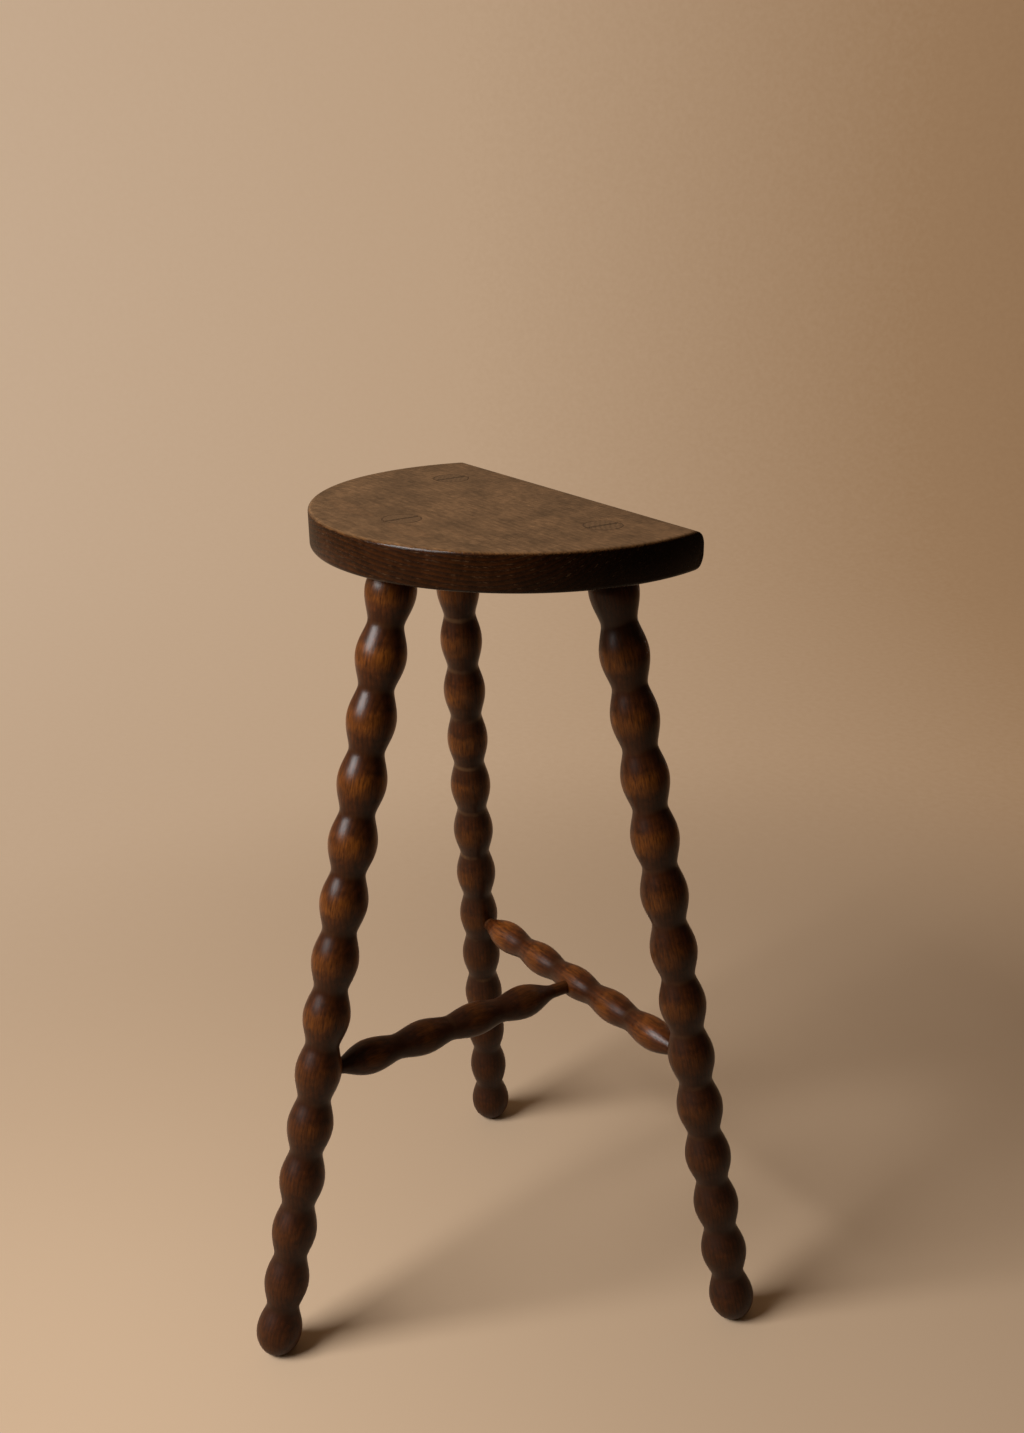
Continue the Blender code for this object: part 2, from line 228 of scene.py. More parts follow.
def oak_grain(tree, place, axis, pith, taper, seed):
    offset = add(tree, "VectorMath", {0: place, 1: (seed, seed, seed)}, operation="ADD")
    wave = add(tree, "TexNoise", {"Vector": offset, "Scale": 1 / WAVE_LENGTH, "Detail": 2.0})
    sway = add(tree, "MapRange", {"Value": wave, "To Min": -RING_SWAY, "To Max": RING_SWAY})
    flat = add(tree, "VectorMath", {0: place, 1: along_grain(axis, 1, 1 / taper)}, operation="MULTIPLY")
    off_pith = add(tree, "VectorMath", {0: flat, 1: pith}, operation="SUBTRACT")
    reach = add(tree, "VectorMath", {0: off_pith}, operation="LENGTH").outputs["Value"]
    swayed = add(tree, "Math", {0: reach, 1: sway}, operation="ADD")
    years = add(tree, "Math", {0: swayed, 1: RING_WIDTH}, operation="DIVIDE")
    season = add(tree, "Math", {0: years}, operation="FRACT")

    drawn = add(tree, "VectorMath", {0: offset, 1: along_grain(axis, FIBRE_WIDTH, FIBRE_LENGTH)},
                operation="MULTIPLY")
    fibres = add(tree, "TexNoise", {"Vector": drawn, "Scale": 1.0, "Detail": 4.0, "Roughness": 0.6})
    blotches = add(tree, "TexNoise", {"Vector": offset, "Scale": 1 / BLOTCH_SIZE, "Detail": 3.0})
    mottle = add(tree, "TexNoise", {"Vector": offset, "Scale": 1 / MOTTLE_SIZE, "Detail": 4.0})

    parts = add(tree, "SeparateXYZ", {0: off_pith}).outputs
    angle = add(tree, "Math", {0: parts[(axis + 1) % 3], 1: parts[(axis + 2) % 3]}, operation="ARCTAN2")
    around = add(tree, "Math", {0: angle, 1: reach}, operation="MULTIPLY")
    along = add(tree, "SeparateXYZ", {0: offset}).outputs[axis]
    ring_place = add(tree, "CombineXYZ", {0: along, 1: around, 2: swayed})
    pored = add(tree, "VectorMath", {0: ring_place, 1: (1 / PORE_LENGTH, 1 / PORE_DASH, 1 / PORE_WIDTH)},
                operation="MULTIPLY")
    cells = add(tree, "TexVoronoi", {"Vector": pored, "Scale": 1.0})
    hole = add(tree, "MapRange", {"Value": cells, "From Min": PORE_EDGE, "From Max": PORE_CORE})
    early = add(tree, "MapRange", {"Value": season, "From Min": LATE_WOOD, "From Max": EARLY_WOOD,
                                   "To Min": LATE_PORES})
    pores = add(tree, "Math", {0: hole, 1: early}, operation="MULTIPLY")
    return season, fibres, mottle, blotches, pores


def waxed(tree, colour, roughness, fibres, pores, strength, shine):
    open_pores = add(tree, "Math", {0: pores, 1: PORE_DEPTH}, operation="MULTIPLY")
    relief = add(tree, "Math", {0: fibres, 1: open_pores}, operation="SUBTRACT")
    bump = add(tree, "Bump", {"Height": relief, "Strength": strength, "Distance": RELIEF_DEPTH})
    shader = add(tree, "BsdfPrincipled", {"Base Color": colour, "Roughness": roughness, "IOR": WAX_IOR,
                                          "Specular IOR Level": shine, "Normal": bump})
    add(tree, "OutputMaterial", {"Surface": shader})


bead_rings = (LEG_BEAD_RADIUS - LEG_NECK_RADIUS) / RING_WIDTH
print("a bead stands", round(bead_rings, 1), "rings proud of its neck")

# %% [markdown]
# ## Stained oak, turned and waxed
# The legs and rails are oak, stained dark brown, waxed and handled for years. The belly of each bead has
# lost some stain, so an amber streak shows there between the fibres. The necks hold old wax, and they are
# painted darker, a painted shade in the hollows. The upper beads are polished by hands and shine, and the
# feet, scuffed on the floor, are duller; towards the floor the colour is painted darker, a painted shade.
# The tenon ends in the seat have been rubbed to the same pale brown as the board around them, and a dark
# line of old glue rings each one.

# %% Colours and wear of turned oak
STAIN_STOPS = [
    (0.00, linear("#381908")),
    (0.30, linear("#411f09")),
    (0.75, linear("#4a240b")),
    (1.00, linear("#3c1b08")),
]
AMBER = linear("#804715")
TURNED_SHINE = 0.27
TURNED_RELIEF = 0.36
TURNED_TAPER = 0.015
POLISH_HEIGHT = 0.42
DULL_HEIGHT = 0.08
HAND_POLISH = 0.06
FLOOR_SCUFF = 0.10
UNEVEN_SHINE = 0.12
FIBRE_TONES = (0.72, 1.22)
MOTTLE_TONES = (0.58, 1.24)
BELLY_EDGE = 0.38
FLECKS = (0.30, 0.70)
WORN_PATCHES = (0.36, 0.62)
PATCH_WEAR = (0.20, 0.95)
FOOT_ZONE_HEIGHT = 0.15
HANDLED_HEIGHT = 0.45
FULL_TONE_HEIGHT = 0.60
LOW_WEAR = 0.35
FLOOR_SHADE_TONE = 0.72
HOLLOW_EDGE = 0.45
NECK_SHADE_SHARE = 0.75
SEAM = (0.93, 0.99)
CRUMBS = (0.45, 0.60)
PORE_SHARE = 0.45
END_SKIN = 1.0 * MILLIMETRE
END_FACE = 0.2 * MILLIMETRE
END_ROUGHNESS = 0.44
JOINT_INNER = 1.3 * MILLIMETRE
JOINT_OUTER = 0.5 * MILLIMETRE
JOINT_SHARE = 0.62
NECK_SHADE_COLOUR = linear("#2a1205")
OLD_WAX = linear("#6d4e31")
PORE_DARK = linear("#231106")
END_STOPS = [
    (0.00, linear("#563e29")),
    (0.55, linear("#674c33")),
    (1.00, linear("#5c442c")),
]
print("the stain varies over", len(STAIN_STOPS), "stops within each", RING_WIDTH / MILLIMETRE, "mm ring")

# %% [markdown]
# ## The layers of the turned finish
# The finish is built in layers, mostly in the order in which it came about: stain over the rings, amber
# where hands wore it off, wax and painted shade in the necks, dark pores, and last the pale end of the
# tenon. The height of a point above the floor says how much it was handled or scuffed, and how much
# painted shade darkens it towards the floor. Every turned piece gets a finish of its own, because its
# grain depends on where in the tree it grew, and a tone of its own, painted darker for pieces in shade.

# %% A finish for turned pieces
def turned_oak(name, placing, pith, tone_and_shade, gloss, neck_wax, seed, end_shade=1.0):
    material = new_material(name)
    tree = material.node_tree
    place = add(tree, "TexCoord").outputs["Object"]
    season, fibres, mottle, blotches, pores = oak_grain(tree, place, 2, (*pith, 0), TURNED_TAPER, seed)
    upward = placing.to_3x3().transposed() @ UP
    climb = add(tree, "VectorMath", {0: place, 1: upward}, operation="DOT_PRODUCT").outputs["Value"]
    height = add(tree, "Math", {0: climb, 1: placing.translation.z}, operation="ADD")
    groove = add(tree, "Attribute", attribute_name="groove").outputs["Fac"]

    rings = add(tree, "ValToRGB", {"Fac": season}, STAIN_STOPS)
    fibre_tone = add(tree, "MapRange", {"Value": fibres, "From Min": NOISE_LOW, "From Max": NOISE_HIGH,
                                        "To Min": FIBRE_TONES[0], "To Max": FIBRE_TONES[1]})
    mottle_tone = add(tree, "MapRange", {"Value": mottle, "From Min": NOISE_LOW, "From Max": NOISE_HIGH,
                                         "To Min": MOTTLE_TONES[0], "To Max": MOTTLE_TONES[1]})
    patina = add(tree, "Math", {0: fibre_tone, 1: mottle_tone}, operation="MULTIPLY")
    stained = add(tree, "VectorMath", {0: rings, "Scale": patina}, operation="SCALE")

    belly = add(tree, "MapRange", {"Value": groove, "From Min": BELLY_EDGE, "From Max": 0.0},
                interpolation_type="SMOOTHSTEP")
    flecks = add(tree, "MapRange", {"Value": fibres, "From Min": FLECKS[0], "From Max": FLECKS[1]})
    patch = add(tree, "MapRange", {"Value": blotches, "From Min": WORN_PATCHES[0],
                                   "From Max": WORN_PATCHES[1], "To Min": PATCH_WEAR[0],
                                   "To Max": PATCH_WEAR[1]})
    rubbed = add(tree, "Math", {0: belly, 1: flecks}, operation="MULTIPLY")
    handled = add(tree, "MapRange", {"Value": height, "From Min": FOOT_ZONE_HEIGHT, "From Max": HANDLED_HEIGHT,
                                     "To Min": LOW_WEAR})
    reached = add(tree, "Math", {0: rubbed, 1: handled}, operation="MULTIPLY")
    worn = add(tree, "Math", {0: reached, 1: patch}, operation="MULTIPLY")
    ambered = add(tree, "Mix", {"Factor": worn, 6: stained, 7: AMBER}, data_type="RGBA")
    # Painted shade: towards the floor the colour is painted darker, to a fraction of the piece's tone at
    # the feet.
    low = add(tree, "MapRange", {"Value": height, "From Min": FOOT_ZONE_HEIGHT, "From Max": FULL_TONE_HEIGHT,
                                 "To Min": FLOOR_SHADE_TONE * tone_and_shade, "To Max": tone_and_shade})
    toned = add(tree, "VectorMath", {0: ambered, "Scale": low}, operation="SCALE")

    # Painted shade: the necks are painted darker, towards a near-black brown.
    hollow = add(tree, "MapRange", {"Value": groove, "From Min": HOLLOW_EDGE, "From Max": 1.0,
                                    "To Max": NECK_SHADE_SHARE})
    neck_shaded = add(tree, "Mix", {"Factor": hollow, 6: toned, 7: NECK_SHADE_COLOUR}, data_type="RGBA")
    seam = add(tree, "MapRange", {"Value": groove, "From Min": SEAM[0], "From Max": SEAM[1]})
    crumbs = add(tree, "MapRange", {"Value": blotches, "From Min": CRUMBS[0], "From Max": CRUMBS[1],
                                    "To Max": neck_wax})
    caught = add(tree, "Math", {0: seam, 1: crumbs}, operation="MULTIPLY")
    seamed = add(tree, "Mix", {"Factor": caught, 6: neck_shaded, 7: OLD_WAX}, data_type="RGBA")
    dark_pores = add(tree, "Math", {0: pores, 1: PORE_SHARE}, operation="MULTIPLY")
    pored = add(tree, "Mix", {"Factor": dark_pores, 6: seamed, 7: PORE_DARK}, data_type="RGBA")

    end = add(tree, "MapRange", {"Value": height, "From Min": SEAT_TOP - END_SKIN,
                                 "From Max": SEAT_TOP - END_FACE})
    end_rings = add(tree, "ValToRGB", {"Fac": season}, END_STOPS)
    end_fibres = add(tree, "Math", {0: fibre_tone, 1: end_shade}, operation="MULTIPLY")
    end_tone = add(tree, "VectorMath", {0: end_rings, "Scale": end_fibres}, operation="SCALE")
    level = add(tree, "VectorMath", {0: place, 1: (1, 1, 0)}, operation="MULTIPLY")
    off_axis = add(tree, "VectorMath", {0: level}, operation="LENGTH").outputs["Value"]
    joint = add(tree, "MapRange", {"Value": off_axis, "From Min": LEG_TENON_RADIUS - JOINT_INNER,
                                   "From Max": LEG_TENON_RADIUS - JOINT_OUTER, "To Max": JOINT_SHARE})
    glued = add(tree, "Mix", {"Factor": joint, 6: end_tone, 7: PORE_DARK}, data_type="RGBA")
    colour = add(tree, "Mix", {"Factor": end, 6: pored, 7: glued}, data_type="RGBA")

    polish = add(tree, "MapRange", {"Value": height, "From Min": POLISH_HEIGHT, "From Max": DULL_HEIGHT,
                                    "To Min": gloss - HAND_POLISH, "To Max": gloss + FLOOR_SCUFF})
    uneven = add(tree, "MapRange", {"Value": blotches, "To Max": UNEVEN_SHINE})
    dulled = add(tree, "Math", {0: polish, 1: uneven}, operation="ADD")
    roughness = add(tree, "Mix", {"Factor": end, "A": dulled, "B": END_ROUGHNESS})
    waxed(tree, colour, roughness, fibres, pores, TURNED_RELIEF, TURNED_SHINE)
    print(name, "has", len(tree.nodes), "nodes")
    return material


# %% [markdown]
# ## Turning on the lathe
# A bobbin leg is a row of beads with narrow necks between them. Its outline needs only one station for
# each neck and each widest ring: between the two, the radius rises as a sine raised to a power, which
# keeps the neck tight and the bead full. A small amount added under the power rounds the bottom of the
# neck, which sandpaper and years of wax have eased. Spinning that outline about the leg's axis gives the
# mesh. Each station is moved a little, as on hand work, and old wood has shrunk across its rings, so the
# section is a faint oval. A value called groove is stored with each ring, from 0 on a bead's belly to 1
# in a neck, for the finish.

# %% A function that turns a row of stations
FACETS = 72
STEPS_PER_SPAN = 12
NECK_EASE = 0.02
HAND_WOBBLE = 0.010
SHRINKAGE = 0.010


def swelling(rise, shape):
    lowest = NECK_EASE ** (shape / 2)
    widest = (1 + NECK_EASE) ** (shape / 2)
    return ((math.sin(math.pi / 2 * rise) ** 2 + NECK_EASE) ** (shape / 2) - lowest) / (widest - lowest)


def outline_through(stations, shape):
    rows = []
    for (low_z, low_r), (high_z, high_r) in zip(stations, stations[1:]):
        narrow = min(low_r, high_r)
        for step in range(STEPS_PER_SPAN):
            share = step / STEPS_PER_SPAN
            rise = share if high_r >= low_r else 1 - share
            swell = swelling(rise, shape)
            radius = narrow + abs(high_r - low_r) * swell
            rows.append((radius, low_z + (high_z - low_z) * share, 1 - swell))
    return rows


def by_hand(radius, luck):
    return radius * (1 + HAND_WOBBLE * luck.uniform(-1, 1))


def spin(rows, shrunk_towards=0.0, shrinkage=0.0):
    shape = bmesh.new()
    groove = shape.verts.layers.float.new("groove")
    rings = []
    for radius, height, depth in rows:
        ring = []
        for facet in range(FACETS):
            angle = 2 * math.pi * facet / FACETS
            reach = radius * (1 - shrinkage * math.cos(2 * (angle - shrunk_towards)))
            vertex = shape.verts.new((reach * math.cos(angle), reach * math.sin(angle), height))
            vertex[groove] = depth
            ring.append(vertex)
        rings.append(ring)
    for lower, upper in zip(rings, rings[1:]):
        for facet in range(FACETS):
            after = (facet + 1) % FACETS
            shape.faces.new((lower[facet], lower[after], upper[after], upper[facet]))
    shape.faces.new(rings[0][::-1])
    shape.faces.new(rings[-1])
    return shape


print("each turned ring has", FACETS, "facets")

# %% [markdown]
# ## From mesh to piece
# Four small jobs come back for every piece. It is placed with its local Z along the wood, so that the
# grain follows it. It may be trimmed along a level plane. Mortises are cut with Boolean modifiers, which
# are then made permanent, and the doubled points that a cut can leave are welded. Last, it gets its
# finish and rides on the root body, and the solid that it stands for is hidden. A list keeps the finished
# pieces, because the lamps behind will be linked to them.

# %% Placing, trimming, cutting and finishing
WELD = 0.000002
finished = []


def frame_along(start, end):
    along = (end - start).normalized()
    side = Vector((1, 0, 0)) if abs(along.x) < abs(along.z) + abs(along.y) else Vector((0, 1, 0))
    across = (side - along * side.dot(along)).normalized()
    rotation = Matrix((across, along.cross(across), along)).transposed()
    return Matrix.Translation(start) @ rotation.to_4x4()


def trim(shape, placing, point, waste):
    to_local = placing.inverted()
    facing = (to_local.to_3x3() @ waste).normalized()
    whole = shape.verts[:] + shape.edges[:] + shape.faces[:]
    cut = bmesh.ops.bisect_plane(shape, geom=whole, plane_co=to_local @ point, plane_no=facing,
                                 clear_outer=True)
    rim = [item for item in cut["geom_cut"] if isinstance(item, bmesh.types.BMEdge)]
    bmesh.ops.edgeloop_fill(shape, edges=rim)


def as_piece(name, shape, placing):
    mesh = bpy.data.meshes.new(name)
    bmesh.ops.recalc_face_normals(shape, faces=shape.faces)
    shape.to_mesh(mesh)
    shape.free()
    piece = bpy.data.objects.new(name, mesh)
    bpy.context.scene.collection.objects.link(piece)
    piece.matrix_world = placing
    return piece


def carve(piece, cutters):
    for cutter in cutters:
        boolean = piece.modifiers.new("joint", "BOOLEAN")
        boolean.operation = "DIFFERENCE"
        boolean.solver = "EXACT"
        boolean.object = cutter
    bpy.context.view_layer.update()
    carved = piece.evaluated_get(bpy.context.evaluated_depsgraph_get())
    piece.data = bpy.data.meshes.new_from_object(carved)
    piece.modifiers.clear()
    mended = bmesh.new()
    mended.from_mesh(piece.data)
    bmesh.ops.remove_doubles(mended, verts=mended.verts, dist=WELD)
    bmesh.ops.dissolve_degenerate(mended, dist=WELD, edges=mended.edges)
    mended.to_mesh(piece.data)
    mended.free()
    for cutter in cutters:
        bpy.data.objects.remove(cutter, do_unlink=True)


def complete(piece, material, node, sharp_degrees=35):
    finished.append(piece)
    piece.data.shade_smooth()
    piece.data.set_sharp_from_angle(angle=math.radians(sharp_degrees))
    piece.data.materials.clear()
    piece.data.materials.append(material)
    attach(piece, "root")
    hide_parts(node)
    print(piece.name, "has", len(piece.data.polygons), "faces")


def rod(radius, low, high, placing):
    return as_piece("cutter", spin([(radius, low, 0), (radius, high, 0)]), placing)


print("points closer than", WELD / MILLIMETRE, "mm are welded after a cut")

# %% [markdown]
# ## Where the rails meet the legs
# Two rails brace the legs at one height: a cross rail between the rear legs, and a foot rail from its
# middle to the front leg. Their plain round ends are glued into blind holes. The placings are worked out
# first, because the legs need those holes before the rails are turned.

# %% Set out the rails
FIT = 0.0001
BORE_CLEARANCE = 0.010


def on_leg(name, height):
    top, foot = leg_axes[name]
    return foot + (top - foot) * (height / SEAT_TOP)


left_end = on_leg("rear_left", RAIL_HEIGHT)
right_end = on_leg("rear_right", RAIL_HEIGHT)
front_end = on_leg("front", RAIL_HEIGHT)
cross_middle = (left_end + right_end) / 2
cross_placing = frame_along(left_end, right_end)
cross_span = (right_end - left_end).length
foot_rail_placing = frame_along(front_end, cross_middle)
foot_rail_span = (cross_middle - front_end).length
mouth = LEG_BEAD_RADIUS + BORE_CLEARANCE
rail_bores = {
    "front": (foot_rail_placing, -FIT, mouth),
    "rear_left": (cross_placing, -FIT, mouth),
    "rear_right": (cross_placing, cross_span - mouth, cross_span + FIT),
    "cross": (foot_rail_placing, foot_rail_span - mouth, foot_rail_span + FIT),
}


def rail_bore(name):
    placing, low, high = rail_bores[name]
    return rod(RAIL_TENON_RADIUS + FIT, low, high, placing)


print("cross rail", round(cross_span, 3), "m and foot rail", round(foot_rail_span, 3), "m between axes")

# %% [markdown]
# ## The three legs
# Each leg is a ball foot, a march of beads at one pitch, a shorter top bead that rounds in under the
# seat, and a plain tenon that runs up through the board. The floor has worn a small flat on each ball,
# and the tenon is trimmed level with the seat, so both ends are cut along level planes although the leg
# leans. The photograph shows the three legs a shade thicker or thinner than each other, as hand turning
# leaves them.

# %% Turn the legs
LEG_SHAPE = 1.25
TOP_BEAD_SHARE = 0.6
TRIM_ALLOWANCE = 0.010
FOOT_STEPS = 12
KERF_WIDTH = 0.00272
KERF_DEPTH = 0.022
LEG_GLOSS = 0.31
# The tone of each leg is partly painted shade: the rear legs, farther from the lamp and in the seat's
# shade, are painted darker than the front one.
LEG_LOOKS = {
    "front": {
        "fullness": (0.982, 1.024), "pith": (0.085, 0.020), "shrunk": 0, "tone_and_shade": 1.0, "wax": 0.1,
    },
    "rear_left": {
        "fullness": (0.976, 0.972), "pith": (0.060, 0.060), "shrunk": 54, "tone_and_shade": 0.80, "wax": 0.4,
    },
    "rear_right": {
        "fullness": (1.016, 0.990), "pith": (0.049, 0.069), "shrunk": -35, "tone_and_shade": 0.70, "wax": 0.1,
    },
}


def leg_rows(lean, fullness, luck):
    shoulder = SEAT_UNDERSIDE / math.cos(lean) - LEG_TENON_RADIUS * math.tan(lean)
    full_beads = int((shoulder - FOOT_NECK) / LEG_BEAD_PITCH - TOP_BEAD_SHARE)
    at_foot, at_seat = fullness
    stations = [(FOOT_WIDEST, FOOT_RADIUS), (FOOT_NECK, LEG_NECK_RADIUS)]
    for index in range(full_beads + 1):
        neck = FOOT_NECK + LEG_BEAD_PITCH * index
        bead = LEG_BEAD_RADIUS * (at_foot + (at_seat - at_foot) * index / full_beads)
        stations.append((neck + LEG_BEAD_PITCH / 2, by_hand(bead, luck)))
        if index < full_beads:
            stations.append((neck + LEG_BEAD_PITCH, by_hand(LEG_NECK_RADIUS, luck)))
    stations.append((shoulder, LEG_TENON_RADIUS))
    ball = []
    for step in range(1, FOOT_STEPS):
        angle = math.pi / 2 * step / FOOT_STEPS
        drop = (FOOT_WIDEST + FOOT_WEAR) * math.cos(angle)
        ball.append((FOOT_RADIUS * math.sin(angle), FOOT_WIDEST - drop, 0))
    tenon_top = (SEAT_TOP + TRIM_ALLOWANCE) / math.cos(lean)
    tenon = [(LEG_TENON_RADIUS, shoulder, 0), (LEG_TENON_RADIUS, tenon_top, 0)]
    return ball + outline_through(stations, LEG_SHAPE) + tenon


def kerf(length, placing):
    slot = bmesh.new()
    bmesh.ops.create_cube(slot, size=1.0)
    bmesh.ops.scale(slot, vec=(KERF_WIDTH, 3 * LEG_TENON_RADIUS, 2 * KERF_DEPTH), verts=slot.verts)
    bmesh.ops.translate(slot, vec=(0, 0, length), verts=slot.verts)
    return as_piece("cutter", slot, placing)


for seed, (name, (top, foot)) in enumerate(leg_axes.items()):
    looks = LEG_LOOKS[name]
    placing = frame_along(foot, top)
    rows = leg_rows((top - foot).angle(UP), looks["fullness"], random.Random(seed))
    turning = spin(rows, math.radians(looks["shrunk"]), SHRINKAGE)
    trim(turning, placing, foot, DOWN)
    trim(turning, placing, top, UP)
    leg = as_piece("turned_leg_" + name, turning, placing)
    carve(leg, [rail_bore(name), kerf((top - foot).length, placing)])
    oak = turned_oak("stained_oak_leg_" + name, placing, looks["pith"], looks["tone_and_shade"], LEG_GLOSS,
                     looks["wax"], seed)
    complete(leg, oak, "leg_" + name)

# %% [markdown]
# ## The T of rails
# The rails carry the same beads as the legs, fewer and slimmer, and run out to plain round spigots. The
# foot rail keeps a longer bare spigot where it enters the middle bead of the cross rail. The cross rail
# is the glossiest piece of the stool, and the foot rail, under the sitter's heel, is darker and duller.

# %% Turn the two rails
RAIL_SHAPE = 1.4
RAIL_END_SHAPE = 1.0
SPIGOT_CLEAR = 0.001
CROSS_BEAD_RADIUS = 0.0142
CROSS_NECK_RADIUS = 0.01075
CROSS_BEADS = 5
CROSS_BEAD_FROM_LEG = 0.053
FOOT_RAIL_BEAD_RADIUS = 0.01485
FOOT_RAIL_NECK_RADIUS = 0.01095
FOOT_RAIL_BEADS = 4
FOOT_RAIL_BEAD_FROM_LEG = 0.049
FOOT_RAIL_BEAD_FROM_CROSS = 0.0596
FOOT_RAIL_SPIGOT = 0.013
CROSS_PITH = (0.030, 0.080)
CROSS_TONE = 1.40
CROSS_GLOSS = 0.26
FOOT_RAIL_PITH = (0.080, -0.020)
FOOT_RAIL_TONE = 0.80
FOOT_RAIL_GLOSS = 0.34
RAIL_WAX = 0.1


def rail_rows(span, entry, leave, first, last, beads, bead_radius, neck_radius, leave_shape, luck):
    half_pitch = (last - first) / (beads - 1) / 2
    stations = []
    for index in range(2 * beads - 1):
        radius = neck_radius if index % 2 else bead_radius
        stations.append((first + half_pitch * index, by_hand(radius, luck)))
    rows = [(RAIL_TENON_RADIUS, 0, 0)]
    rows += outline_through([(entry, RAIL_TENON_RADIUS), stations[0]], RAIL_END_SHAPE)
    rows += outline_through(stations, RAIL_SHAPE)
    rows += outline_through([stations[-1], (leave, RAIL_TENON_RADIUS)], leave_shape)
    return rows + [(RAIL_TENON_RADIUS, leave, 0), (RAIL_TENON_RADIUS, span, 0)]


leg_entry = LEG_BEAD_RADIUS + SPIGOT_CLEAR
cross_rows = rail_rows(cross_span, leg_entry, cross_span - leg_entry, CROSS_BEAD_FROM_LEG,
                       cross_span - CROSS_BEAD_FROM_LEG, CROSS_BEADS, CROSS_BEAD_RADIUS, CROSS_NECK_RADIUS,
                       RAIL_END_SHAPE, random.Random(11))
cross_rail = as_piece("turned_cross_rail", spin(cross_rows, 0, SHRINKAGE), cross_placing)
carve(cross_rail, [rail_bore("cross")])
cross_oak = turned_oak("stained_oak_cross_rail", cross_placing, CROSS_PITH, CROSS_TONE, CROSS_GLOSS,
                       RAIL_WAX, seed=5)
complete(cross_rail, cross_oak, "cross_stretcher")

foot_rows = rail_rows(foot_rail_span, leg_entry, foot_rail_span - CROSS_BEAD_RADIUS - FOOT_RAIL_SPIGOT,
                      FOOT_RAIL_BEAD_FROM_LEG, foot_rail_span - FOOT_RAIL_BEAD_FROM_CROSS, FOOT_RAIL_BEADS,
                      FOOT_RAIL_BEAD_RADIUS, FOOT_RAIL_NECK_RADIUS, RAIL_SHAPE, random.Random(12))
foot_rail = as_piece("turned_foot_rail", spin(foot_rows, 0, SHRINKAGE), foot_rail_placing)
foot_oak = turned_oak("stained_oak_foot_rail", foot_rail_placing, FOOT_RAIL_PITH, FOOT_RAIL_TONE,
                      FOOT_RAIL_GLOSS, RAIL_WAX, seed=6)
complete(foot_rail, foot_oak, "foot_stretcher")

# %% [markdown]
# ## Oak for a board
# The seat is sawn with its grain along the straight back edge. Its rings are wide arcs about a pith that
# lay above the board, so the top shows long faint arches and the curved rim shows the ends of the rings
# as nested curves. The pores, cut across on the rim, show as rows of pale dashes, which are wax in the
# pores and painted glints. End grain drinks more stain than long grain, and the rim is darkest where it
# faces along the board, which is painted shade as well as stain. Clothes have rubbed the top to a paler
# brown than the rim and polished the arris between them; the top's greyer tone is a painted sheen, and the
# rim's dark brown is partly painted shade.

# %% Colours and wear of the board
PITH_HEIGHT = 0.088
PITH_FORWARD = 0.1725
BOARD_TAPER = 0.06
# The top's paler, greyer brown is partly wear and partly a painted sheen; the rim's much darker brown is
# partly stain and partly painted shade.
TOP_WEAR_AND_SHEEN_STOPS = [
    (0.00, linear("#634931")),
    (0.25, linear("#674c33")),
    (0.80, linear("#6c5036")),
    (1.00, linear("#664a31")),
]
RIM_STAIN_AND_SHADE_STOPS = [
    (0.00, linear("#1e0d04")),
    (0.30, linear("#241003")),
    (0.80, linear("#331704")),
    (1.00, linear("#200e04")),
]
RIM_WAX_AND_GLINT = linear("#6e4e33")
ARRIS_WEAR = linear("#6a4625")
BOARD_SHINE = 0.16
BOARD_RELIEF = 0.35
BOARD_FIBRE_TONES = (0.74, 1.20)
BOARD_BLOTCH_TONES = (0.74, 1.20)
BOARD_MOTTLE_TONES = (0.78, 1.16)
TOP_SKIN = 1.6 * MILLIMETRE
TOP_FACE = 0.3 * MILLIMETRE
ARRIS_DROP = 1.1 * MILLIMETRE
ARRIS_CORE = 0.2 * MILLIMETRE
ARRIS_ROUGHNESS = 0.12
ARRIS_STREAKS = (0.40, 0.65)
ARRIS_SHARE = 0.6
RIM_ROUGHNESS = 0.20
TOP_ROUGHNESS = 0.36
ROUGHNESS_CLOUDS = 0.14
END_GRAIN_FROM = 0.60
END_GRAIN_FULL = 0.98
END_GRAIN_SHADE_TONE = 0.35
RIM_PORE_SHARE = 0.34
TOP_PORE_SHARE = 0.40
PORE_PATCHES = (0.42, 0.64)
print("the board is", round((SEAT_TOP - SEAT_UNDERSIDE) / RING_WIDTH), "rings thick")
